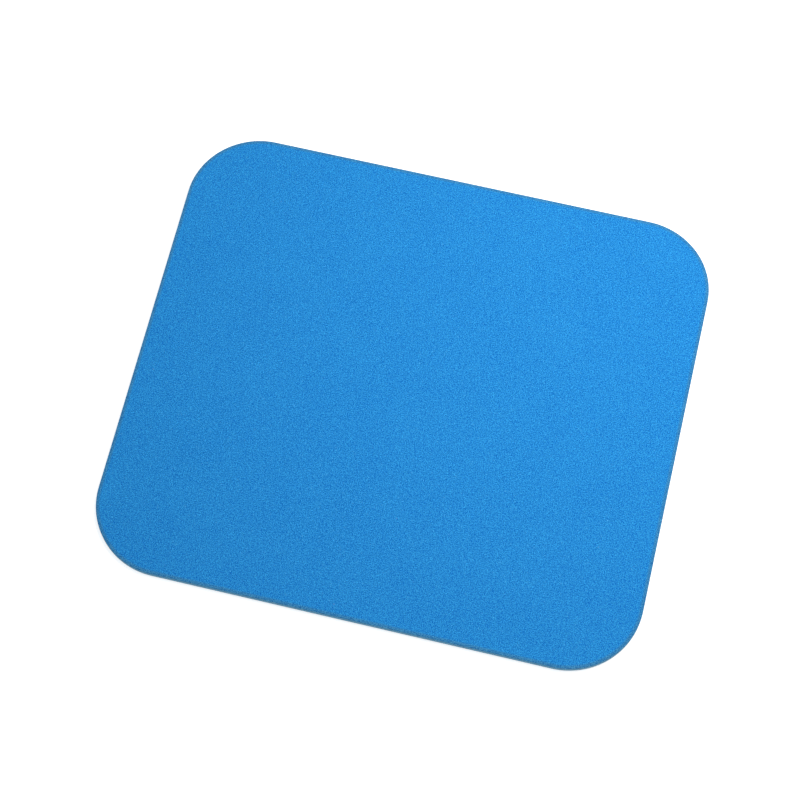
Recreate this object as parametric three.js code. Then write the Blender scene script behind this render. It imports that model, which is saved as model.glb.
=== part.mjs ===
// A desk mouse pad: a knitted cloth face glued to a foam core, with an anti-slip skin underneath.
// All four sheets are cut at once by one die, whose pressure rounds the upper rim over.
// Millimetres, +Z up. The origin is the middle of the underside, and +X runs along the longer side.
import * as THREE from "three";
import { toCreasedNormals } from "three/addons/utils/BufferGeometryUtils.js";

// Outline that the die cuts
const PAD_LENGTH = 250;
const PAD_WIDTH = 220;
const CORNER_RADIUS = 34;

// Sheets, from the desk up
const GRIP_THICKNESS = 0.25;
const FOAM_THICKNESS = 2.2;
const FILM_THICKNESS = 0.1;
const CLOTH_THICKNESS = 0.45;

// Upper rim, which the die presses down over a narrow band, and the cloth's own thinning at its cut
const RIM_WIDTH = 1.6;
const RIM_DROP = 0.16;
const CLOTH_PINCH = 0.2;

// Cut edge: the squeezed foam springs back a little hollow, and the skin's lower rim is left rounded
const FOAM_EDGE_HOLLOW = 0.14;
const GRIP_RIM_RADIUS = 0.12;

// Straight steps that stand for each curve
const CORNER_STEPS = 10;
const RIM_STEPS = 4;
const EDGE_STEPS = 4;
const GRIP_RIM_STEPS = 2;

// Heights of the sheets' upper faces
const GRIP_TOP = GRIP_THICKNESS;
const FOAM_TOP = GRIP_TOP + FOAM_THICKNESS;
const FILM_TOP = FOAM_TOP + FILM_THICKNESS;
const CLOTH_TOP = FILM_TOP + CLOTH_THICKNESS;

const QUARTER_TURN = Math.PI / 2;
const CREASE_ANGLE = Math.PI / 6;

const clothMaterial = new THREE.MeshStandardMaterial({ color: 0x288bd8, roughness: 0.95, metalness: 0 });
const filmMaterial = new THREE.MeshStandardMaterial({ color: 0x7db0cf, roughness: 0.45, metalness: 0 });
const foamMaterial = new THREE.MeshStandardMaterial({ color: 0x70bae2, roughness: 0.9, metalness: 0 });
const gripMaterial = new THREE.MeshStandardMaterial({ color: 0x2f5f84, roughness: 0.7, metalness: 0 });

// Equal shares from 0 to 1, both ends included.
function evenShares(steps) {
  return Array.from({ length: steps + 1 }, (_, step) => step / steps);
}

// The die's outline drawn in by inset: a round at each corner on the same four centres, and straight
// sides between them.
function outlinePoints(inset) {
  const centreX = PAD_LENGTH / 2 - CORNER_RADIUS;
  const centreY = PAD_WIDTH / 2 - CORNER_RADIUS;
  const shape = new THREE.Shape();
  const corners = [[centreX, centreY], [-centreX, centreY], [-centreX, -centreY], [centreX, -centreY]];
  corners.forEach(([x, y], quarter) => {
    shape.absarc(x, y, CORNER_RADIUS - inset, quarter * QUARTER_TURN, (quarter + 1) * QUARTER_TURN);
  });
  return shape.getPoints(CORNER_STEPS);
}

// A closed sheet, from rings that run from its flat underside, out and up over its edge, to its flat top.
// Each ring is the outline drawn in by inset at height z.
function sheetGeometry(rings) {
  const loops = rings.map(({ inset, z }) =>
    outlinePoints(inset).map((point) => new THREE.Vector3(point.x, point.y, z)),
  );
  const underside = new THREE.Vector3(0, 0, rings[0].z);
  const top = new THREE.Vector3(0, 0, rings[rings.length - 1].z);
  const firstLoop = loops[0];
  const lastLoop = loops[loops.length - 1];
  const corners = [];
  firstLoop.forEach((_, here) => {
    const next = (here + 1) % firstLoop.length;
    corners.push(underside, firstLoop[next], firstLoop[here]);
    loops.slice(1).forEach((upper, below) => {
      const lower = loops[below];
      corners.push(lower[here], lower[next], upper[next]);
      corners.push(lower[here], upper[next], upper[here]);
    });
    corners.push(top, lastLoop[here], lastLoop[next]);
  });
  return toCreasedNormals(new THREE.BufferGeometry().setFromPoints(corners), CREASE_ANGLE);
}

// The rings of a face at height z whose rim is pressed down by drop, from the cut edge inwards: a
// quarter of an ellipse.
function pressedFace(z, drop) {
  return evenShares(RIM_STEPS).map((share) => ({
    inset: RIM_WIDTH * (1 - Math.cos(share * QUARTER_TURN)),
    z: z - drop * (1 - Math.sin(share * QUARTER_TURN)),
  }));
}

// The cloth face, thinner at its cut, where the die pinches it.
function clothTop() {
  const underside = pressedFace(FILM_TOP, RIM_DROP).reverse();
  const face = pressedFace(CLOTH_TOP, RIM_DROP + CLOTH_PINCH);
  return sheetGeometry([...underside, ...face]);
}

// The film of glue between cloth and foam, which follows the pressed rim.
function adhesiveFilm() {
  const underside = pressedFace(FOAM_TOP, RIM_DROP).reverse();
  const face = pressedFace(FILM_TOP, RIM_DROP);
  return sheetGeometry([...underside, ...face]);
}

// The foam core, whose cut edge is hollow between the skin below and the pressed rim above.
function foamCore() {
  const edgeTop = FOAM_TOP - RIM_DROP;
  const edge = evenShares(EDGE_STEPS)
    .slice(0, -1)
    .map((share) => ({
      inset: FOAM_EDGE_HOLLOW * Math.sin(share * Math.PI),
      z: GRIP_TOP + share * (edgeTop - GRIP_TOP),
    }));
  return sheetGeometry([...edge, ...pressedFace(FOAM_TOP, RIM_DROP)]);
}

// The anti-slip skin, cast onto the foam, with its lower rim rounded.
function gripBase() {
  const lowerRim = evenShares(GRIP_RIM_STEPS).map((share) => ({
    inset: GRIP_RIM_RADIUS * (1 - Math.sin(share * QUARTER_TURN)),
    z: GRIP_RIM_RADIUS * (1 - Math.cos(share * QUARTER_TURN)),
  }));
  return sheetGeometry([...lowerRim, { inset: 0, z: GRIP_TOP }]);
}

// One named mesh of the pad.
function sheet(name, geometry, material) {
  const mesh = new THREE.Mesh(geometry, material);
  mesh.name = name;
  return mesh;
}

const mousePad = new THREE.Group();
mousePad.name = "mouse_pad";
mousePad.add(
  sheet("grip_base", gripBase(), gripMaterial),
  sheet("foam_core", foamCore(), foamMaterial),
  sheet("adhesive_film", adhesiveFilm(), filmMaterial),
  sheet("cloth_top", clothTop(), clothMaterial),
);

export default mousePad;
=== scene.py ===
import math

import bmesh
import bpy
from mathutils import Matrix, Vector


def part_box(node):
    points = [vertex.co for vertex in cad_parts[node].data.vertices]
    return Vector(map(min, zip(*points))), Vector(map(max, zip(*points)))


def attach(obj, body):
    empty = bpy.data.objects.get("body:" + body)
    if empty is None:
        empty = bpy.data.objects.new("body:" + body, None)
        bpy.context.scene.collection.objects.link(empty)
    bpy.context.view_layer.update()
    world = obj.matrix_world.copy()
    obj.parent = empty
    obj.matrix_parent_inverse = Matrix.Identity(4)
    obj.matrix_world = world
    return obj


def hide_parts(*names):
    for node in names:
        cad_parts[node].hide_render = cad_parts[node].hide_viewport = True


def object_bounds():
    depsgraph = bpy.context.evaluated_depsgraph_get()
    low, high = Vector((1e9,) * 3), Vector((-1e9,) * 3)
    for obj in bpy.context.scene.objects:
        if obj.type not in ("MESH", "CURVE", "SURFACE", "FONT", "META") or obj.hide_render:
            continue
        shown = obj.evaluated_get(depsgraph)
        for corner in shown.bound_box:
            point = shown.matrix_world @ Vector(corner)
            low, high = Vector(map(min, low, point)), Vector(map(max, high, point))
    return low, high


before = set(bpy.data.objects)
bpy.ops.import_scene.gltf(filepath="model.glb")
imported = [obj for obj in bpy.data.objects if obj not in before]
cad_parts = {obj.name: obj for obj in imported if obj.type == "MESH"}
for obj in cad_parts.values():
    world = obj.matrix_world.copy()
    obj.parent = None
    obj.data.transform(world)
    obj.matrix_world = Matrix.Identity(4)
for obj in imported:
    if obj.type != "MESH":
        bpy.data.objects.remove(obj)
cad_low, cad_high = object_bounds()

MM = 0.001

# Heights of the sheets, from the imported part
FLOOR = cad_low.z
GRIP_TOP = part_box("grip_base")[1].z
FOAM_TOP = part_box("foam_core")[1].z
FILM_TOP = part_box("adhesive_film")[1].z
CLOTH_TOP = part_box("cloth_top")[1].z
CLOTH_CUT_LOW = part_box("cloth_top")[0].z

# Outline that the die cuts
PAD_LENGTH = cad_high.x - cad_low.x
PAD_WIDTH = cad_high.y - cad_low.y
CORNER_RADIUS = 34 * MM

# Rim that the die presses down, the cloth's own thinning at its cut, and the hollow of the cut foam
RIM_WIDTH = 1.6 * MM
RIM_DROP = FILM_TOP - CLOTH_CUT_LOW
CLOTH_PINCH = 0.2 * MM
FOAM_EDGE_HOLLOW = 0.14 * MM
GRIP_RIM_RADIUS = 0.12 * MM

# Small unevenness of the cut sheets, and how far inside the cut the cloth's waves begin
CLOTH_WAVE = 0.05 * MM
CLOTH_WAVE_SIZE = 22 * MM
CLOTH_WAVE_MARGIN = 3 * MM
CLOTH_FRAY = 0.07 * MM
CLOTH_FRAY_SIZE = 0.4 * MM
FILM_BULGE = 0.06 * MM
FILM_BULGE_SIZE = 1.5 * MM
FOAM_PIT = 0.09 * MM
FOAM_PIT_SIZE = 0.45 * MM

# How that unevenness is spread: the layers of cloudy noise, how strongly the pits are marked, and the
# value of each that leaves a point where it is
CLOUD_LAYERS = 2
PIT_CONTRAST = 1.4
CLOUD_MIDDLE = 0.5
FRAY_MIDDLE = 0.8
PIT_MIDDLE = 1

# Relief embossed in the underside of the skin: lozenges raised out of a plain ground
LOZENGE_PITCH = 2.6 * MM
LOZENGE_HEIGHT = 0.12 * MM
LOZENGE_GROUND = 0.2 * MM
LOZENGE_SLOPE = 0.1 * MM

# How far the skin's blank and its cutter reach past each other, and how near two points of the trimmed
# skin lie to be merged
OVERRUN = 0.5 * MM
WELD = 0.001 * MM

# Knit of the cloth: its columns and rows, how far each V climbs as a share of a row, how deep its relief
# is, and the share of that below which the gaps between stitches are painted dark as shade
WALE = 0.36 * MM
COURSE = 0.3 * MM
STITCH_LEAN = 0.9
STITCH_DEPTH = 0.04 * MM
GAP_SHADE_SHARE = 0.45

# Yarn of the cloth: how it wanders, the filaments that show in it, how many of its stitches get a painted
# glint (a pale colour that stands in for a highlight), the shares of them that are wholly of the dark yarn
# and wholly of the light one, and the lumps of the mottle across them
YARN_WANDER = 0.06 * MM
YARN_WANDER_SIZE = 2.5 * MM
YARN_WANDER_DETAIL = 1
FILAMENTS = 4
FILAMENT_SHARE = 0.15
PAINTED_GLINT_SHARE = 0.003
DARK_SHARE = 0.1
LIGHT_SHARE = 0.1
MOTTLE = 0.5 * MM
MOTTLE_DETAIL = 0
MOTTLE_SPREAD = 0.08

# Cells of the foam, and the band at the cloth's cut that shows the ends of its yarn
FOAM_CELL = 0.3 * MM
FOAM_SMALL_CELL = 0.16 * MM
LEAST_CELL_SHARE = 0.2
WIDEST_CELL_SHARE = 0.6
CELL_FLOOR_SHARE = 0.5
CUT_BAND = 0.2 * MM
YARN_END = 0.12 * MM
LEAST_END_SHARE = 0.5

# Grain of the glue, the foam and the skin
GRAIN_DETAIL = 2
GRAIN_SPREAD = 0.2
FILM_GRAIN = 0.2 * MM
FOAM_GRAIN = 0.06 * MM
GRIP_GRAIN = 0.16 * MM

# Patches of uneven dye or handling on each piece
PATCH_DETAIL = 3
PATCH_LOW = 0.3
PATCH_HIGH = 0.7
CLOTH_PATCH = 28 * MM
FILM_PATCH = 2 * MM
FOAM_PATCH = 12 * MM
GRIP_PATCH = 35 * MM

# Specks of dust: how far apart their places lie, the share of the places that hold one, and a speck's
# radius as a share of that distance
CLOTH_DUST = 9 * MM
CLOTH_DUST_SHARE = 0.12
FOAM_DUST = 4 * MM
FOAM_DUST_SHARE = 0.3
GRIP_DUST = 5 * MM
GRIP_DUST_SHARE = 0.25
DUST_RADIUS_SHARE = 0.06

# Bands along the cut whose colour differs, and the share of a band that has it in full
# On the cloth the band is duller where the die pressed it, and darker by painted shade where its rim turns
# down
CLOTH_PRESS_AND_SHADE_BAND = 2.2 * MM
GRIP_RIM = 2 * MM
RIM_FULL_SHARE = 0.4

# Counts that set how fine the meshes are
ARC_STEPS = 32
LONG_SIDE_STEPS = 36
SHORT_SIDE_STEPS = 30
RIM_STEPS = 8
GRIP_RIM_STEPS = 4
CLOTH_ROWS = 3
FILM_ROWS = 2
FOAM_ROWS = 10
ARC_CUTS = 7
SIDE_CUTS = 20
FILM_CUT_SHARE = 0.5

# Angles up to which neighbouring faces are shaded as one
SHEET_SMOOTH = math.radians(35)
FOAM_SMOOTH = math.radians(60)
GRIP_SMOOTH = math.radians(20)

# Limits by which faces, edges and points are picked, and the rim's first ring, which parts the wall of
# the cut from what lies inside it
FACING = 0.5
SIDE_BAND = 1 * MM
WHOLE_EDGE_SHARE = 0.9
LEVEL_SLACK = 0.01 * MM
TOP_SLACK = 0.1 * MM
PAST_ENDS = 1 * MM
FIRST_RING = RIM_WIDTH * (1 - math.cos(math.pi / 2 / RIM_STEPS))

# Map that a piece's pattern is drawn on. What shows fills it up to the main share. The strip above that
# holds the hidden faces, side by side at a share of their size, and beside them any wall that is short.
# A face counts as wall where the upright part of its normal is under LEVEL
LEVEL = 0.3
UP = 1
DOWN = -1
WALL = 0
MAP_MAIN_SHARE = 0.88
MAP_STRIP_SHARE = 0.9
HIDDEN_FACE_SHARE = 0.1
HIDDEN_STEP_SHARE = 0.11
MAP_WALL_SHARE = 0.24
ROW_EDGE_SHARE = 0.05
MAIN_ROWS = 16
STRIP_ROWS = 4
QUARTERS = 4

# Camera, from the photograph's perspective
CAMERA_AZIMUTH = math.radians(14.84)
CAMERA_ELEVATION = math.radians(69.48)
CAMERA_ROLL = math.radians(1.41)
CAMERA_DISTANCE = 1009.9 * MM
CAMERA_AIM = Vector((-2.85 * MM, -3.14 * MM, 0))
CAMERA_LENS = 99.18

# Light: the shares that lamp and surroundings give to a white level face, which add up to 1
KEY_SHARE = 0.56
SURROUND_SHARE = 0.44
KEY_AZIMUTH = math.radians(135)
KEY_ELEVATION = math.radians(62)
KEY_DISTANCE = 480 * MM
KEY_SIZE = 350 * MM

# Floor: its size, how far it lies under the pad, and the glow that makes it look white to the camera
FLOOR_SIZE = 8
FLOOR_GAP = 0.02 * MM
FLOOR_GLOW = 0.6


def select_none():
    """Leaves no object selected, so that an operator acts on the next piece alone."""
    bpy.ops.object.select_all(action="DESELECT")


def take(piece):
    """Leaves this piece alone selected and active."""
    select_none()
    piece.select_set(True)
    bpy.context.view_layer.objects.active = piece


def pick(piece, kind, test):
    """In edit mode, selects only the faces or edges that pass the test."""
    bpy.ops.mesh.select_mode(type=kind)
    bpy.ops.mesh.select_all(action="DESELECT")
    cage = bmesh.from_edit_mesh(piece.data)
    for element in cage.faces if kind == "FACE" else cage.edges:
        if test(element):
            element.select_set(True)
    bmesh.update_edit_mesh(piece.data)


def wide_face(up):
    """A test that finds the large many-sided face that looks up, or down where up is -1."""
    return lambda face: len(face.verts) > 4 and face.normal.z * up > FACING


def middle_of(edge):
    """The middle of an edge."""
    return (edge.verts[0].co + edge.verts[1].co) / 2


def inside(point):
    """How far a point lies inside the die's outline, seen from above."""
    reach_x = abs(point.x) - (PAD_LENGTH / 2 - CORNER_RADIUS)
    reach_y = abs(point.y) - (PAD_WIDTH / 2 - CORNER_RADIUS)
    outer = math.hypot(max(reach_x, 0), max(reach_y, 0))
    return CORNER_RADIUS - outer - min(max(reach_x, reach_y), 0)


def at_cut(point):
    """Whether a point lies on the outline, and not on the rim's first ring or inside it."""
    return inside(point) < FIRST_RING / 2


def place_in_mesh(piece):
    """Puts a new primitive's place, turn and size into its mesh."""
    bpy.ops.object.transform_apply(location=True, rotation=True, scale=True)
    piece.data.name = piece.name


def extrude(rise):
    """Extrudes the picked faces straight up, or down where the rise is negative."""
    bpy.ops.mesh.extrude_region_move(TRANSFORM_OT_translate={"value": (0, 0, rise)})


def round_over(width, lift, steps):
    """Draws the picked face in, in rings along a quarter of an ellipse, and lifts it along its normal."""
    quarter = math.pi / 2 / steps
    for step in range(steps):
        run = width * (math.cos(step * quarter) - math.cos((step + 1) * quarter))
        rise = lift * (math.sin((step + 1) * quarter) - math.sin(step * quarter))
        bpy.ops.mesh.inset(thickness=run, depth=rise, use_even_offset=True)


def long_edge(edge):
    """Whether an edge is a whole straight side of the outline."""
    return edge.calc_length() > CORNER_RADIUS


def die_blank(name, height):
    """The die's outline as one flat face at this height, left selected in edit mode."""
    select_none()
    bpy.ops.mesh.primitive_plane_add(size=1, location=(0, 0, height))
    blank = bpy.context.object
    blank.name = name
    blank.scale = (PAD_LENGTH, PAD_WIDTH, 1)
    place_in_mesh(blank)
    bpy.ops.object.mode_set(mode="EDIT")
    bpy.ops.mesh.select_all(action="SELECT")
    bpy.ops.mesh.bevel(
        offset=CORNER_RADIUS, segments=ARC_STEPS, profile=0.5, affect="VERTICES", clamp_overlap=False
    )
    for across, steps in ((1, LONG_SIDE_STEPS), (0, SHORT_SIDE_STEPS)):
        for side in (1, -1):
            half = (PAD_LENGTH / 2, PAD_WIDTH / 2)[across] - SIDE_BAND
            pick(blank, "EDGE", lambda edge: middle_of(edge)[across] * side > half and long_edge(edge))
            bpy.ops.mesh.subdivide(number_cuts=steps - 1)
    bpy.ops.mesh.select_mode(type="FACE")
    bpy.ops.mesh.select_all(action="SELECT")
    return blank


def press_rim(piece, up, drop):
    """Draws the large face that looks up or down in towards its middle, in rings that rise by drop."""
    pick(piece, "FACE", wide_face(up))
    round_over(RIM_WIDTH, drop * up, RIM_STEPS)


def grid_middle(piece, up):
    """Turns the large face that looks up or down into a grid whose corners lie in the round corners."""
    pick(piece, "FACE", wide_face(up))
    bpy.ops.mesh.delete(type="ONLY_FACE")
    pick(piece, "EDGE", lambda edge: edge.is_boundary)
    cage = bmesh.from_edit_mesh(piece.data)
    corner = Vector((PAD_LENGTH / 2, PAD_WIDTH / 2))
    start = min((vert for vert in cage.verts if vert.select), key=lambda vert: (vert.co.xy - corner).length)
    cage.select_history.clear()
    cage.select_history.add(start)
    bmesh.update_edit_mesh(piece.data)
    bpy.ops.mesh.fill_grid(span=LONG_SIDE_STEPS + ARC_STEPS)


def pressed_slab(name, underside, under_drop, top, top_drop):
    """A closed sheet between two heights, each of whose faces lies lower by its own drop at the cut."""
    slab = die_blank(name, underside - under_drop)
    cut_height = (top - top_drop) - (underside - under_drop)
    extrude(cut_height)
    for up, drop in ((UP, top_drop), (DOWN, under_drop)):
        press_rim(slab, up, drop)
        grid_middle(slab, up)
    return slab


def on_cut(edge):
    """Whether an edge lies on the outline's upright wall."""
    return all(at_cut(vert.co) for vert in edge.verts)


def edge_rise(edge):
    """How far one end of an edge lies above the other."""
    return abs(edge.verts[0].co.z - edge.verts[1].co.z)


def refine_cut(piece, rows, share=1):
    """Divides the upright wall of the cut into rows, and into steps along the outline."""
    pick(piece, "EDGE", lambda edge: on_cut(edge) and edge_rise(edge) > LEVEL_SLACK)
    if rows > 1:
        bpy.ops.mesh.subdivide(number_cuts=rows - 1)
    side_run = (PAD_LENGTH - 2 * CORNER_RADIUS) / LONG_SIDE_STEPS
    arc_run = CORNER_RADIUS * math.pi / 2 / ARC_STEPS
    for run, cuts in ((side_run, SIDE_CUTS), (arc_run, ARC_CUTS)):
        pick(piece, "EDGE", lambda edge: on_cut(edge) and edge.calc_length() > run * WHOLE_EDGE_SHARE)
        bpy.ops.mesh.subdivide(number_cuts=round(cuts * share) - 1)


def weigh(piece, name, weight_at):
    """A vertex group whose weights come from each point's place."""
    group = piece.vertex_groups.new(name=name)
    for vertex in piece.data.vertices:
        weight = weight_at(vertex.co)
        if weight > 0:
            group.add([vertex.index], weight, "REPLACE")


def wall_weight(low, high):
    """1 on the upright wall between two heights, and 0 at both and elsewhere."""
    return lambda point: float(at_cut(point) and low + LEVEL_SLACK < point.z < high - LEVEL_SLACK)


def push(piece, group, depth, texture=None, middle=0.0):
    """Moves the points of a vertex group along their normals, evenly or by a texture."""
    take(piece)
    mover = piece.modifiers.new(group, "DISPLACE")
    mover.vertex_group = group
    mover.strength = depth
    mover.mid_level = middle
    if texture:
        mover.texture = texture
        mover.texture_coords = "LOCAL"
    bpy.ops.object.modifier_apply(modifier=mover.name)


def soft_noise(name, size):
    """A cloudy texture with lumps of this size."""
    texture = bpy.data.textures.new(name, "CLOUDS")
    texture.noise_scale = size
    texture.noise_depth = CLOUD_LAYERS
    return texture


def pit_noise(name, size):
    """A texture of round pits of this size."""
    texture = bpy.data.textures.new(name, "VORONOI")
    texture.noise_scale = size
    texture.noise_intensity = PIT_CONTRAST
    return texture


def way_of(face):
    """Which way a face looks: UP, DOWN or, on the cut, WALL."""
    if abs(face.normal.z) < LEVEL:
        return WALL
    return UP if face.normal.z > 0 else DOWN


def lap_at(point):
    """How far a point lies round its quarter of the outline: 0 amid a short side and 1 amid a long one."""
    return (abs(point.y) + PAD_LENGTH / 2 - abs(point.x)) / (PAD_LENGTH / 2 + PAD_WIDTH / 2)


def level_spot(point, way):
    """Where a point of a level face lies on the map, whose width is the pad's length."""
    return Vector((0.5 + way * point.x / PAD_LENGTH, (point.y + PAD_WIDTH / 2) / PAD_LENGTH))


def hidden_spot(point, way):
    """Where a point of a hidden level face lies in the map's strip."""
    start = Vector((HIDDEN_STEP_SHARE if way == UP else 0, MAP_STRIP_SHARE))
    return start + level_spot(point, way) * HIDDEN_FACE_SHARE


def wall_spot(point, middle, rise, shown):
    """Where a point of the wall lies on the map: in rows, each an equal run of a quarter of the outline."""
    rows, left, low, high = STRIP_ROWS, MAP_WALL_SHARE, MAP_STRIP_SHARE, 1
    if shown:
        rows, left, low, high = MAIN_ROWS, 0, 0, MAP_MAIN_SHARE
    each = rows // QUARTERS
    row = min(int(lap_at(middle) * each), each - 1)
    along = min(max(lap_at(point) * each - row, 0), 1)
    quarter = 2 * (middle.x > 0) + (middle.y > 0)
    up = (quarter * each + row + ROW_EDGE_SHARE + (1 - 2 * ROW_EDGE_SHARE) * rise) / rows
    return Vector((left + (1 - left) * along, low + (high - low) * up))


def pattern_map(piece, shown):
    """Adds the map of a piece's pattern, with the most room for what shows: UP, DOWN or WALL faces."""
    mesh = piece.data
    points = [vertex.co for vertex in mesh.vertices]
    walls = [face for face in mesh.polygons if way_of(face) == WALL]
    heights = [points[index].z for face in walls for index in face.vertices]
    low, high = min(heights), max(heights)
    spots = mesh.uv_layers.new(name="OFBake").uv
    for face in mesh.polygons:
        way = way_of(face)
        for corner, index in zip(face.loop_indices, face.vertices):
            point = points[index]
            if way == WALL:
                spot = wall_spot(point, face.center, (point.z - low) / (high - low), shown == WALL)
            elif way == shown:
                spot = level_spot(point, way)
            else:
                spot = hidden_spot(point, way)
            spots[corner].vector = spot


def finish_piece(piece, node, material, smooth=SHEET_SMOOTH):
    """Ends the modelling: smooth faces, material, the body it rides on and the CAD node it stands for."""
    take(piece)
    bpy.ops.object.shade_smooth_by_angle(angle=smooth)
    piece.vertex_groups.clear()
    piece.data.materials.clear()
    piece.data.materials.append(material)
    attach(piece, "root")
    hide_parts(node)


def cloth_face():
    """The knitted cloth: slightly wavy, pressed down at its rim, with a frayed cut."""
    cloth = pressed_slab("cloth_face", FILM_TOP, RIM_DROP, CLOTH_TOP, RIM_DROP + CLOTH_PINCH)
    refine_cut(cloth, CLOTH_ROWS)
    bpy.ops.object.mode_set(mode="OBJECT")
    pattern_map(cloth, UP)
    cut_top = CLOTH_TOP - RIM_DROP - CLOTH_PINCH
    face_low = CLOTH_TOP - TOP_SLACK
    weigh(cloth, "wave", lambda point: float(inside(point) > CLOTH_WAVE_MARGIN and point.z > face_low))
    weigh(cloth, "fray", wall_weight(CLOTH_CUT_LOW - PAST_ENDS, cut_top + PAST_ENDS))
    push(cloth, "wave", CLOTH_WAVE, soft_noise("cloth_waves", CLOTH_WAVE_SIZE), CLOUD_MIDDLE)
    push(cloth, "fray", CLOTH_FRAY, soft_noise("cloth_fray", CLOTH_FRAY_SIZE), FRAY_MIDDLE)
    finish_piece(cloth, "cloth_top", cloth_material())
    return cloth


def glue_film():
    """The film of glue, whose squeezed edge is a little uneven."""
    film = pressed_slab("glue_film", FOAM_TOP, RIM_DROP, FILM_TOP, RIM_DROP)
    refine_cut(film, FILM_ROWS, FILM_CUT_SHARE)
    bpy.ops.object.mode_set(mode="OBJECT")
    pattern_map(film, WALL)
    weigh(film, "bulge", wall_weight(FOAM_TOP - RIM_DROP, FILM_TOP - RIM_DROP))
    push(film, "bulge", FILM_BULGE, soft_noise("film_bulges", FILM_BULGE_SIZE), CLOUD_MIDDLE)
    finish_piece(film, "adhesive_film", film_material())
    return film


def foam_sheet():
    """The foam core: its cut edge is hollow and open-celled."""
    foam = pressed_slab("foam_sheet", GRIP_TOP, 0, FOAM_TOP, RIM_DROP)
    refine_cut(foam, FOAM_ROWS)
    bpy.ops.object.mode_set(mode="OBJECT")
    pattern_map(foam, WALL)
    edge_top = FOAM_TOP - RIM_DROP
    on_wall = wall_weight(GRIP_TOP, edge_top)
    span = edge_top - GRIP_TOP
    weigh(foam, "hollow", lambda point: on_wall(point) * math.sin(math.pi * (point.z - GRIP_TOP) / span))
    weigh(foam, "pits", on_wall)
    push(foam, "hollow", -FOAM_EDGE_HOLLOW)
    push(foam, "pits", FOAM_PIT, pit_noise("foam_pits", FOAM_PIT_SIZE), PIT_MIDDLE)
    finish_piece(foam, "foam_core", foam_material(), FOAM_SMOOTH)
    return foam


def outline_cutter():
    """A block of the die's outline with the skin's rounded lower rim, to trim the embossed skin."""
    cutter = die_blank("outline_cutter", FLOOR + GRIP_RIM_RADIUS)
    extrude(GRIP_TOP - FLOOR - GRIP_RIM_RADIUS)
    pick(cutter, "FACE", wide_face(DOWN))
    round_over(GRIP_RIM_RADIUS, GRIP_RIM_RADIUS, GRIP_RIM_STEPS)
    extrude(-OVERRUN)
    bpy.ops.object.mode_set(mode="OBJECT")
    return cutter


def weld(piece):
    """Merges the points of the active piece that its trim left almost on top of each other."""
    bpy.ops.object.mode_set(mode="EDIT")
    bpy.ops.mesh.select_all(action="SELECT")
    bpy.ops.mesh.remove_doubles(threshold=WELD)
    bpy.ops.object.mode_set(mode="OBJECT")


def grip_skin():
    """The anti-slip skin: lozenges embossed all over its underside, trimmed to the die's outline."""
    cutter = outline_cutter()
    select_none()
    cells = math.ceil((PAD_LENGTH + PAD_WIDTH) / math.sqrt(2) / LOZENGE_PITCH)
    bpy.ops.mesh.primitive_grid_add(
        x_subdivisions=cells,
        y_subdivisions=cells,
        size=cells * LOZENGE_PITCH,
        location=(0, 0, FLOOR + LOZENGE_HEIGHT),
        rotation=(0, 0, math.pi / 4),
    )
    skin = bpy.context.object
    skin.name = "grip_skin"
    place_in_mesh(skin)
    bpy.ops.object.mode_set(mode="EDIT")
    pick(skin, "FACE", lambda face: inside(face.calc_center_median()) < -LOZENGE_PITCH)
    bpy.ops.mesh.delete(type="FACE")
    bpy.ops.mesh.select_all(action="SELECT")
    extrude(GRIP_TOP - FLOOR - LOZENGE_HEIGHT + OVERRUN)
    pick(skin, "FACE", lambda face: face.normal.z < -FACING)
    bpy.ops.mesh.inset(use_individual=True, thickness=LOZENGE_GROUND / 2, depth=0)
    bpy.ops.mesh.inset(use_individual=True, thickness=LOZENGE_SLOPE, depth=LOZENGE_HEIGHT)
    bpy.ops.object.mode_set(mode="OBJECT")
    trim = skin.modifiers.new("trim", "BOOLEAN")
    trim.operation = "INTERSECT"
    trim.solver = "MANIFOLD"
    trim.object = cutter
    bpy.ops.object.modifier_apply(modifier=trim.name)
    bpy.data.objects.remove(cutter)
    weld(skin)
    pattern_map(skin, DOWN)
    finish_piece(skin, "grip_base", grip_material(), GRIP_SMOOTH)
    return skin


def srgb(red, green, blue):
    """A colour of the screen, in 0 to 255, as the linear values that shaders take."""
    shares = (red / 255, green / 255, blue / 255)
    linear = [share / 12.92 if share <= 0.04045 else ((share + 0.055) / 1.055) ** 2.4 for share in shares]
    return (*linear, 1)


# Colours of the finishes
CLOTH_DARK = srgb(0, 113, 213)
CLOTH_LIGHT = srgb(62, 186, 255)
# Painted highlight: the pale colour of the few stitches that glint as if their filaments caught the light
CLOTH_PAINTED_GLINT = srgb(92, 196, 255)
# Painted shade between the stitches, where the yarn sinks into its gaps
CLOTH_GAP_SHADE = srgb(0, 80, 150)
CLOTH_SHEEN_TINT = srgb(150, 205, 255)
# Pressed rim of the cloth: duller as pressed cloth, and darker by painted shade where the rim rolls away
# from the light
CLOTH_PRESSED_AND_SHADED_DARK = srgb(38, 110, 142)
CLOTH_PRESSED_AND_SHADED_LIGHT = srgb(104, 162, 184)
CLOTH_CUT_DARK = srgb(74, 130, 168)
CLOTH_CUT_LIGHT = srgb(124, 182, 212)
FILM_DARK = srgb(104, 158, 194)
FILM_LIGHT = srgb(146, 194, 220)
# Darkest foam: the dark grain, and the painted shade inside the cells' pits
FOAM_DARK_AND_PIT_SHADE = srgb(66, 143, 190)
FOAM_LIGHT = srgb(134, 208, 245)
FOAM_WORN = srgb(150, 196, 216)
GRIP_DARK = srgb(38, 84, 120)
GRIP_LIGHT = srgb(56, 106, 144)
GRIP_WORN = srgb(96, 132, 156)
DUST_COLOUR = srgb(190, 205, 215)
FLOOR_COLOUR = (0.9, 0.9, 0.9, 1)
WHITE = (1, 1, 1, 1)

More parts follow.
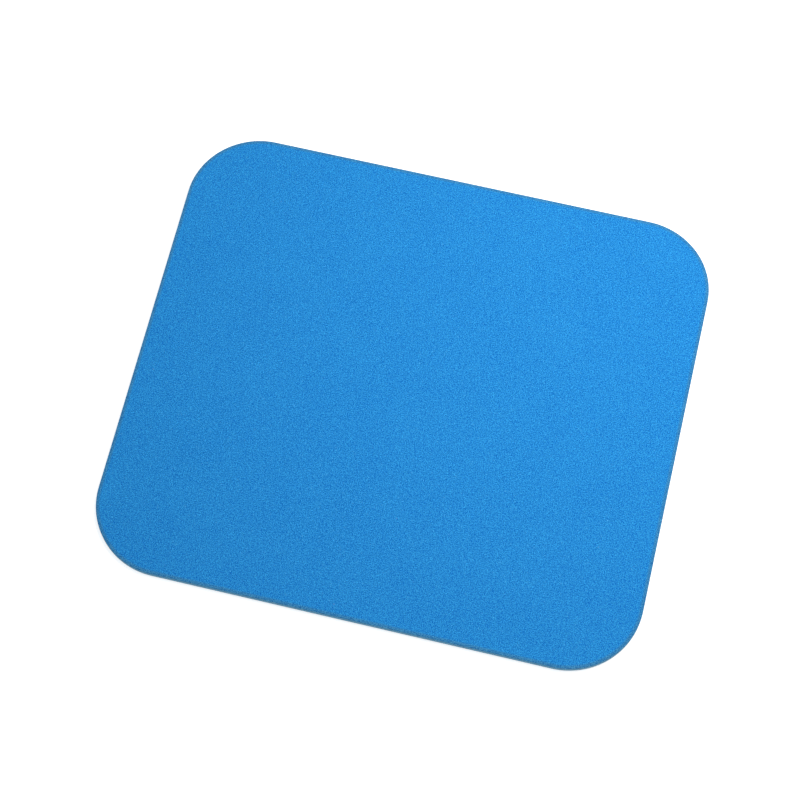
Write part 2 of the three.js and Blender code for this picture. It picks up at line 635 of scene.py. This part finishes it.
# What makes up each finish's colour: the shares of its patterns and of the foam's cells painted dark as
# shade, and how far rim (on the cloth partly painted shade), wear and dust turn it
MOTTLE_SHARE = 0.58
PATCH_SHARE = 0.04
CLOTH_PRESS_AND_SHADE_SHARE = 0.55
CLOTH_DUST_TINGE = 0.12
FILM_PATCH_SHARE = 0.5
SMALL_CELL_SHADE_SHARE = 0.7
CELL_SHADE_SHARE = 0.75
FOAM_WORN_SHARE = 0.2
FOAM_DUST_TINGE = 0.4
GRIP_PATCH_SHARE = 0.5
GROOVE_SHARE = 0.25
GRIP_RIM_SHARE = 0.25
GRIP_DUST_TINGE = 0.5

# Shine of each finish, and the depth of its fine relief
CLOTH_GAP_ROUGH = 0.98
CLOTH_YARN_ROUGH = 0.86
CLOTH_SPECULAR = 0.15
CLOTH_SHEEN = 0.08
CLOTH_SHEEN_ROUGH = 0.5
FILM_LEAST_ROUGH = 0.38
FILM_MOST_ROUGH = 0.55
FILM_RELIEF = 0.01 * MM
FOAM_WALL_ROUGH = 0.8
FOAM_CELL_ROUGH = 0.95
FOAM_SPECULAR = 0.3
FOAM_RELIEF = 0.07 * MM
GRIP_RAISED_ROUGH = 0.58
GRIP_GROOVE_ROUGH = 0.8
GRIP_SPECULAR = 0.4
GRIP_RELIEF = 0.015 * MM
GRIP_RELIEF_SHARE = 0.7


def feed(tree, socket, value):
    """Joins another node's output to a socket, or sets the socket to a plain value."""
    if isinstance(value, bpy.types.NodeSocket):
        tree.links.new(value, socket)
    else:
        socket.default_value = value


def put(tree, kind, inputs, **settings):
    """Adds a node with its settings and its inputs by name."""
    node = tree.nodes.new(kind)
    for name, value in settings.items():
        setattr(node, name, value)
    for name, value in inputs.items():
        feed(tree, node.inputs[name], value)
    return node


def reckon(tree, operation, *values):
    """The result of a Math node on numbers or outputs."""
    node = put(tree, "ShaderNodeMath", {}, operation=operation)
    for socket, value in zip(node.inputs, values):
        feed(tree, socket, value)
    return node.outputs["Value"]


def vector_reckon(tree, operation, *values):
    """The result of a Vector Math node on vectors or outputs."""
    node = put(tree, "ShaderNodeVectorMath", {}, operation=operation)
    for socket, value in zip(node.inputs, values):
        feed(tree, socket, value)
    return node.outputs["Value" if operation == "LENGTH" else "Vector"]


def mix_colours(tree, share, first, second):
    """The first colour where share is 0 and the second where it is 1."""
    node = put(tree, "ShaderNodeMix", {}, data_type="RGBA")
    sockets = {socket.identifier: socket for socket in node.inputs}
    feed(tree, sockets["Factor_Float"], share)
    feed(tree, sockets["A_Color"], first)
    feed(tree, sockets["B_Color"], second)
    return next(socket for socket in node.outputs if socket.identifier == "Result_Color")


def tinge(tree, mask, share, colour, tint):
    """Turns a colour towards a tint where the mask says, by this share at most."""
    return mix_colours(tree, reckon(tree, "MULTIPLY", mask, share), colour, tint)


def mingle(tree, share, first, second):
    """A value made up of the first by this share and of the second by the rest."""
    return reckon(tree, "MULTIPLY_ADD", first, share, reckon(tree, "MULTIPLY", second, 1 - share))


def ramp(tree, value, low, high, start=0.0, end=1.0):
    """Takes a value between low and high to one between start and end, smoothly and no further."""
    inputs = {"Value": value, "From Min": low, "From Max": high, "To Min": start, "To Max": end}
    return put(tree, "ShaderNodeMapRange", inputs, interpolation_type="SMOOTHSTEP").outputs["Result"]


def new_group(name, sizes, outputs):
    """An empty shader node group that takes a place and some sizes, with its inner ends."""
    group = bpy.data.node_groups.new(name, "ShaderNodeTree")
    group.interface.new_socket("Place", in_out="INPUT", socket_type="NodeSocketVector")
    for label, default in sizes.items():
        socket = group.interface.new_socket(label, in_out="INPUT", socket_type="NodeSocketFloat")
        socket.default_value = default
    for label in outputs:
        group.interface.new_socket(label, in_out="OUTPUT", socket_type="NodeSocketFloat")
    return group, group.nodes.new("NodeGroupInput").outputs, group.nodes.new("NodeGroupOutput").inputs


def placed(tree, group, inputs):
    """The outputs of a node group placed in a material with these inputs."""
    return put(tree, "ShaderNodeGroup", inputs, node_tree=group).outputs


def rounded(tree, value):
    """A round back across a value in 0 to 0.5: 1 at 0, falling to 0 at 0.5."""
    return reckon(tree, "SUBTRACT", 1, reckon(tree, "POWER", reckon(tree, "MULTIPLY", value, 2), 2))


def knit_stitches():
    """Columns of V-shaped stitches: the height of their yarn, a chance shade for each, and a mask of the
    rare stitches that get a painted glint.
    """
    sizes = {"Wale": WALE, "Course": COURSE}
    group, entry, leave = new_group("knit_stitches", sizes, ["Height", "Shade", "Painted_Glint"])
    noise = {"Vector": entry["Place"], "Scale": 1 / YARN_WANDER_SIZE, "Detail": YARN_WANDER_DETAIL}
    drift = put(group, "ShaderNodeTexNoise", noise, noise_dimensions="3D").outputs["Color"]
    moved = vector_reckon(group, "MULTIPLY_ADD", drift, (2 * YARN_WANDER,) * 3, entry["Place"])
    place = put(group, "ShaderNodeSeparateXYZ", {"Vector": moved}).outputs
    across = reckon(group, "ADD", reckon(group, "DIVIDE", place["X"], entry["Wale"]), 0.5)
    along = reckon(group, "DIVIDE", place["Y"], entry["Course"])
    lean = reckon(group, "MULTIPLY", reckon(group, "PINGPONG", across, 0.5), 2)
    row = reckon(group, "MULTIPLY_ADD", lean, STITCH_LEAN, along)
    round_yarn = rounded(group, reckon(group, "PINGPONG", reckon(group, "ADD", row, 0.5), 0.5))
    round_leg = rounded(group, reckon(group, "ABSOLUTE", reckon(group, "SUBTRACT", lean, 0.5)))
    back = reckon(group, "MULTIPLY", round_yarn, reckon(group, "SQRT", round_leg))
    filament = reckon(group, "PINGPONG", reckon(group, "MULTIPLY", row, FILAMENTS), 0.5)
    notch = reckon(group, "MULTIPLY_ADD", filament, 2 * FILAMENT_SHARE, 1 - FILAMENT_SHARE)
    feed(group, leave["Height"], reckon(group, "MULTIPLY", back, notch))
    stitch = {"X": reckon(group, "FLOOR", across), "Y": reckon(group, "FLOOR", row)}
    cell = put(group, "ShaderNodeCombineXYZ", stitch).outputs["Vector"]
    chance = put(group, "ShaderNodeTexWhiteNoise", {"Vector": cell}, noise_dimensions="2D")
    feed(group, leave["Shade"], ramp(group, chance.outputs["Value"], DARK_SHARE, 1 - LIGHT_SHARE))
    second = put(group, "ShaderNodeSeparateColor", {"Color": chance.outputs["Color"]}).outputs["Red"]
    feed(group, leave["Painted_Glint"], reckon(group, "LESS_THAN", second, PAINTED_GLINT_SHARE))
    return group


def fine_grain():
    """A fine even mottle with lumps of this size. A small spread makes it more strongly marked."""
    sizes = {"Size": GRIP_GRAIN, "Detail": GRAIN_DETAIL, "Spread": GRAIN_SPREAD}
    group, entry, leave = new_group("fine_grain", sizes, ["Shade"])
    scale = reckon(group, "DIVIDE", 1, entry["Size"])
    inputs = {"Vector": entry["Place"], "Scale": scale, "Detail": entry["Detail"]}
    mottle = put(group, "ShaderNodeTexNoise", inputs, noise_dimensions="3D").outputs["Fac"]
    low = reckon(group, "SUBTRACT", 0.5, entry["Spread"])
    high = reckon(group, "ADD", 0.5, entry["Spread"])
    feed(group, leave["Shade"], ramp(group, mottle, low, high))
    return group


def round_cells():
    """Round cells of this size, some wider than others: 1 inside a cell and 0 between them."""
    sizes = {"Size": FOAM_CELL, "Least": LEAST_CELL_SHARE}
    group, entry, leave = new_group("round_cells", sizes, ["Cell"])
    inputs = {"Vector": entry["Place"], "Scale": reckon(group, "DIVIDE", 1, entry["Size"])}
    spots = put(group, "ShaderNodeTexVoronoi", inputs, feature="F1").outputs
    chance = put(group, "ShaderNodeSeparateColor", {"Color": spots["Color"]}).outputs["Red"]
    spare = reckon(group, "SUBTRACT", WIDEST_CELL_SHARE, entry["Least"])
    radius = reckon(group, "MULTIPLY_ADD", chance, spare, entry["Least"])
    floor = reckon(group, "MULTIPLY", radius, CELL_FLOOR_SHARE)
    feed(group, leave["Cell"], ramp(group, spots["Distance"], radius, floor))
    return group


def soft_patches():
    """Faint cloudy patches, as of uneven dye or handling."""
    group, entry, leave = new_group("soft_patches", {"Size": CLOTH_PATCH}, ["Shade"])
    scale = reckon(group, "DIVIDE", 1, entry["Size"])
    inputs = {"Vector": entry["Place"], "Scale": scale, "Detail": PATCH_DETAIL}
    clouds = put(group, "ShaderNodeTexNoise", inputs, noise_dimensions="3D")
    feed(group, leave["Shade"], ramp(group, clouds.outputs["Fac"], PATCH_LOW, PATCH_HIGH))
    return group


def fine_dust():
    """Scattered specks of dust: 1 on a speck. Share says how many of the places hold one."""
    sizes = {"Size": GRIP_DUST, "Share": GRIP_DUST_SHARE}
    group, entry, leave = new_group("fine_dust", sizes, ["Speck"])
    scale = reckon(group, "DIVIDE", 1, entry["Size"])
    spots = put(group, "ShaderNodeTexVoronoi", {"Vector": entry["Place"], "Scale": scale}, feature="F1")
    chance = put(group, "ShaderNodeSeparateColor", {"Color": spots.outputs["Color"]}).outputs["Red"]
    chosen = reckon(group, "LESS_THAN", chance, entry["Share"])
    near = ramp(group, spots.outputs["Distance"], DUST_RADIUS_SHARE, DUST_RADIUS_SHARE / 2)
    feed(group, leave["Speck"], reckon(group, "MULTIPLY", chosen, near))
    return group


def cut_rim():
    """A band along the die's cut: 1 beside the outline, then fading inwards to 0 at the width."""
    group, entry, leave = new_group("cut_rim", {"Width": RIM_WIDTH}, ["Rim"])
    level = vector_reckon(group, "MULTIPLY", vector_reckon(group, "ABSOLUTE", entry["Place"]), (1, 1, 0))
    straight = (PAD_LENGTH / 2 - CORNER_RADIUS, PAD_WIDTH / 2 - CORNER_RADIUS, 0)
    reach = vector_reckon(group, "SUBTRACT", level, straight)
    outer = vector_reckon(group, "LENGTH", vector_reckon(group, "MAXIMUM", reach, (0, 0, 0)))
    parts = put(group, "ShaderNodeSeparateXYZ", {"Vector": reach}).outputs
    inner = reckon(group, "MINIMUM", reckon(group, "MAXIMUM", parts["X"], parts["Y"]), 0)
    past_corner = reckon(group, "SUBTRACT", reckon(group, "SUBTRACT", CORNER_RADIUS, outer), inner)
    full = reckon(group, "MULTIPLY", entry["Width"], RIM_FULL_SHARE)
    feed(group, leave["Rim"], ramp(group, past_corner, entry["Width"], full))
    return group


def new_finish(name):
    """An empty material: its node tree, its shader and the place on the piece that patterns follow."""
    material = bpy.data.materials.new(name)
    material.use_nodes = True
    tree = material.node_tree
    place = tree.nodes.new("ShaderNodeTexCoord").outputs["Object"]
    return material, tree, tree.nodes["Principled BSDF"], place


def relief(tree, shader, height, depth, strength=1.0):
    """Gives a shader the small relief of a height, in 0 to 1, that stands this deep."""
    inputs = {"Strength": strength, "Distance": depth, "Height": height}
    feed(tree, shader.inputs["Normal"], put(tree, "ShaderNodeBump", inputs).outputs["Normal"])


def cloth_material():
    """Matt blue knit with a speckle from stitch to stitch, painted shade in the gaps between stitches, a
    few painted glints, and a band at the cut that is duller as pressed cloth and darker by painted shade.
    """
    material, tree, shader, place = new_finish("knit_cloth")
    stitches = placed(tree, KNIT, {"Place": place})
    patches = placed(tree, PATCHES, {"Place": place, "Size": CLOTH_PATCH})["Shade"]
    rim = placed(tree, RIM, {"Place": place, "Width": CLOTH_PRESS_AND_SHADE_BAND})["Rim"]
    cut = placed(tree, RIM, {"Place": place, "Width": CUT_BAND})["Rim"]
    ends = placed(tree, CELLS, {"Place": place, "Size": YARN_END, "Least": LEAST_END_SHARE})["Cell"]
    dust = placed(tree, DUST, {"Place": place, "Size": CLOTH_DUST, "Share": CLOTH_DUST_SHARE})["Speck"]
    lumps = {"Place": place, "Size": MOTTLE, "Detail": MOTTLE_DETAIL, "Spread": MOTTLE_SPREAD}
    mottle = placed(tree, GRAIN, lumps)["Shade"]
    stitch_shade = reckon(tree, "MULTIPLY", stitches["Shade"], 1 - PATCH_SHARE - MOTTLE_SHARE)
    fine_shade = reckon(tree, "MULTIPLY_ADD", mottle, MOTTLE_SHARE, stitch_shade)
    shade = reckon(tree, "MULTIPLY_ADD", patches, PATCH_SHARE, fine_shade)
    dyed = mix_colours(tree, shade, CLOTH_DARK, CLOTH_LIGHT)
    # Painted highlight: a few stitches take a pale colour in place of light caught by their filaments
    yarn = mix_colours(tree, stitches["Painted_Glint"], dyed, CLOTH_PAINTED_GLINT)
    # Pressing and painted shade: near the cut the cloth turns duller where the die pressed it, and darker
    # where shade is painted on its rolled rim
    pressed_and_shaded = mix_colours(tree, shade, CLOTH_PRESSED_AND_SHADED_DARK, CLOTH_PRESSED_AND_SHADED_LIGHT)
    yarn = tinge(tree, rim, CLOTH_PRESS_AND_SHADE_SHARE, yarn, pressed_and_shaded)
    # Painted shade: the colour darkens towards the gaps between stitches, as if shade fell there
    face = mix_colours(tree, ramp(tree, stitches["Height"], 0, GAP_SHADE_SHARE), CLOTH_GAP_SHADE, yarn)
    frayed = mix_colours(tree, ends, CLOTH_CUT_DARK, CLOTH_CUT_LIGHT)
    colour = mix_colours(tree, cut, face, frayed)
    colour = tinge(tree, dust, CLOTH_DUST_TINGE, colour, DUST_COLOUR)
    feed(tree, shader.inputs["Base Color"], colour)
    rough = ramp(tree, stitches["Height"], 0, 1, CLOTH_GAP_ROUGH, CLOTH_YARN_ROUGH)
    feed(tree, shader.inputs["Roughness"], rough)
    shader.inputs["Specular IOR Level"].default_value = CLOTH_SPECULAR
    shader.inputs["Sheen Weight"].default_value = CLOTH_SHEEN
    shader.inputs["Sheen Roughness"].default_value = CLOTH_SHEEN_ROUGH
    shader.inputs["Sheen Tint"].default_value = CLOTH_SHEEN_TINT
    knit = reckon(tree, "MULTIPLY", stitches["Height"], reckon(tree, "SUBTRACT", 1, cut))
    relief(tree, shader, reckon(tree, "MULTIPLY_ADD", ends, cut, knit), STITCH_DEPTH)
    return material


def film_material():
    """Milky set glue with a faint satin shine."""
    material, tree, shader, place = new_finish("glue_film")
    patches = placed(tree, PATCHES, {"Place": place, "Size": FILM_PATCH})["Shade"]
    grain = placed(tree, GRAIN, {"Place": place, "Size": FILM_GRAIN})["Shade"]
    shade = mingle(tree, FILM_PATCH_SHARE, patches, grain)
    feed(tree, shader.inputs["Base Color"], mix_colours(tree, shade, FILM_DARK, FILM_LIGHT))
    feed(tree, shader.inputs["Roughness"], ramp(tree, patches, 0, 1, FILM_LEAST_ROUGH, FILM_MOST_ROUGH))
    relief(tree, shader, grain, FILM_RELIEF)
    return material


def foam_material():
    """Matt blue foam, cut open: pale walls round cells of two sizes painted darker as the shade in their
    pits, with a little dust.
    """
    material, tree, shader, place = new_finish("foam")
    cells = placed(tree, CELLS, {"Place": place, "Size": FOAM_CELL})["Cell"]
    small = placed(tree, CELLS, {"Place": place, "Size": FOAM_SMALL_CELL})["Cell"]
    grain = placed(tree, GRAIN, {"Place": place, "Size": FOAM_GRAIN})["Shade"]
    patches = placed(tree, PATCHES, {"Place": place, "Size": FOAM_PATCH})["Shade"]
    dust = placed(tree, DUST, {"Place": place, "Size": FOAM_DUST, "Share": FOAM_DUST_SHARE})["Speck"]
    hollow = reckon(tree, "MAXIMUM", cells, reckon(tree, "MULTIPLY", small, SMALL_CELL_SHADE_SHARE))
    shade = mingle(tree, CELL_SHADE_SHARE, hollow, grain)
    # Painted shade: the cells are darkened as if shade filled their pits
    colour = mix_colours(tree, shade, FOAM_LIGHT, FOAM_DARK_AND_PIT_SHADE)
    colour = tinge(tree, patches, FOAM_WORN_SHARE, colour, FOAM_WORN)
    colour = tinge(tree, dust, FOAM_DUST_TINGE, colour, DUST_COLOUR)
    feed(tree, shader.inputs["Base Color"], colour)
    feed(tree, shader.inputs["Roughness"], ramp(tree, hollow, 0, 1, FOAM_WALL_ROUGH, FOAM_CELL_ROUGH))
    shader.inputs["Specular IOR Level"].default_value = FOAM_SPECULAR
    relief(tree, shader, reckon(tree, "SUBTRACT", 1, shade), FOAM_RELIEF)
    return material


def grip_material():
    """Dark blue rubber skin: fine grain, slightly polished raised faces, paler grooves and rim, dust."""
    material, tree, shader, place = new_finish("grip_skin")
    height = put(tree, "ShaderNodeSeparateXYZ", {"Vector": place}).outputs["Z"]
    groove = ramp(tree, height, FLOOR + LEVEL_SLACK, FLOOR + LOZENGE_HEIGHT)
    grain = placed(tree, GRAIN, {"Place": place, "Size": GRIP_GRAIN})["Shade"]
    patches = placed(tree, PATCHES, {"Place": place, "Size": GRIP_PATCH})["Shade"]
    rim = placed(tree, RIM, {"Place": place, "Width": GRIP_RIM})["Rim"]
    dust = placed(tree, DUST, {"Place": place, "Size": GRIP_DUST, "Share": GRIP_DUST_SHARE})["Speck"]
    shade = mingle(tree, GRIP_PATCH_SHARE, patches, grain)
    colour = mix_colours(tree, shade, GRIP_DARK, GRIP_LIGHT)
    colour = tinge(tree, groove, GROOVE_SHARE, colour, GRIP_WORN)
    colour = tinge(tree, rim, GRIP_RIM_SHARE, colour, GRIP_WORN)
    colour = tinge(tree, dust, GRIP_DUST_TINGE, colour, DUST_COLOUR)
    feed(tree, shader.inputs["Base Color"], colour)
    rough = ramp(tree, groove, 0, 1, GRIP_RAISED_ROUGH, GRIP_GROOVE_ROUGH)
    feed(tree, shader.inputs["Roughness"], rough)
    shader.inputs["Specular IOR Level"].default_value = GRIP_SPECULAR
    relief(tree, shader, grain, GRIP_RELIEF, GRIP_RELIEF_SHARE)
    return material


def seen_directly(tree):
    """1 for rays that look at a thing straight, in a mirror or through glass, otherwise 0."""
    rays = tree.nodes.new("ShaderNodeLightPath").outputs
    seen = reckon(tree, "MAXIMUM", rays["Is Camera Ray"], rays["Is Glossy Ray"])
    return reckon(tree, "MAXIMUM", seen, rays["Is Transmission Ray"])


def studio_floor():
    """A pale floor that looks white and keeps the soft shadow of the pad."""
    select_none()
    bpy.ops.mesh.primitive_plane_add(size=FLOOR_SIZE, location=(0, 0, FLOOR - FLOOR_GAP))
    ground = bpy.context.object
    ground.name = "studio_floor"
    place_in_mesh(ground)
    material, tree, shader, _ = new_finish("studio_floor")
    shader.inputs["Base Color"].default_value = FLOOR_COLOUR
    shader.inputs["Roughness"].default_value = 1
    shader.inputs["Specular IOR Level"].default_value = 0
    shader.inputs["Emission Color"].default_value = WHITE
    glow = reckon(tree, "MULTIPLY", seen_directly(tree), FLOOR_GLOW)
    feed(tree, shader.inputs["Emission Strength"], glow)
    ground.data.materials.append(material)


def surroundings():
    """Even soft light from all round, which looks white behind the floor."""
    world = bpy.data.worlds.new("surroundings")
    bpy.context.scene.world = world
    world.use_nodes = True
    tree = world.node_tree
    strength = ramp(tree, seen_directly(tree), 0, 1, SURROUND_SHARE, 1)
    background = tree.nodes["Background"]
    background.inputs["Color"].default_value = WHITE
    feed(tree, background.inputs["Strength"], strength)


def direction(azimuth, elevation):
    """The way from the pad towards a camera or lamp."""
    level = math.cos(elevation)
    return Vector((math.sin(azimuth) * level, -math.cos(azimuth) * level, math.sin(elevation)))


def softbox():
    """A square lamp at the right rear, strong enough to give its share to a level white face."""
    towards = direction(KEY_AZIMUTH, KEY_ELEVATION)
    select_none()
    bpy.ops.object.light_add(type="AREA", location=towards * KEY_DISTANCE)
    lamp = bpy.context.object
    lamp.name = "softbox"
    lamp.rotation_euler = towards.to_track_quat("Z", "Y").to_euler()
    lamp.data.size = KEY_SIZE
    half = KEY_SIZE / 2
    spread = half / math.hypot(half, KEY_DISTANCE)
    white = math.pi**2 * half**2 / (spread * math.atan(spread) * math.sin(KEY_ELEVATION))
    lamp.data.energy = KEY_SHARE * white


def camera():
    """The camera at the photograph's place and lens."""
    towards = direction(CAMERA_AZIMUTH, CAMERA_ELEVATION)
    select_none()
    bpy.ops.object.camera_add(location=CAMERA_AIM + towards * CAMERA_DISTANCE)
    eye = bpy.context.object
    eye.name = "camera"
    about = Matrix.Rotation(CAMERA_AZIMUTH, 3, "Z")
    down = Matrix.Rotation(math.pi / 2 - CAMERA_ELEVATION, 3, "X")
    lean = Matrix.Rotation(-CAMERA_ROLL, 3, "Z")
    eye.rotation_euler = (about @ down @ lean).to_euler()
    eye.data.lens = CAMERA_LENS
    bpy.context.scene.camera = eye


KNIT = knit_stitches()
GRAIN = fine_grain()
CELLS = round_cells()
PATCHES = soft_patches()
DUST = fine_dust()
RIM = cut_rim()

camera()
surroundings()
softbox()
studio_floor()

cloth = cloth_face()
film = glue_film()
foam = foam_sheet()
skin = grip_skin()

bpy.context.scene.view_settings.view_transform = "Standard"

# With its guides left as they are, the denoiser keeps more of the knit's fine grain
bpy.context.scene.cycles.denoising_prefilter = "NONE"
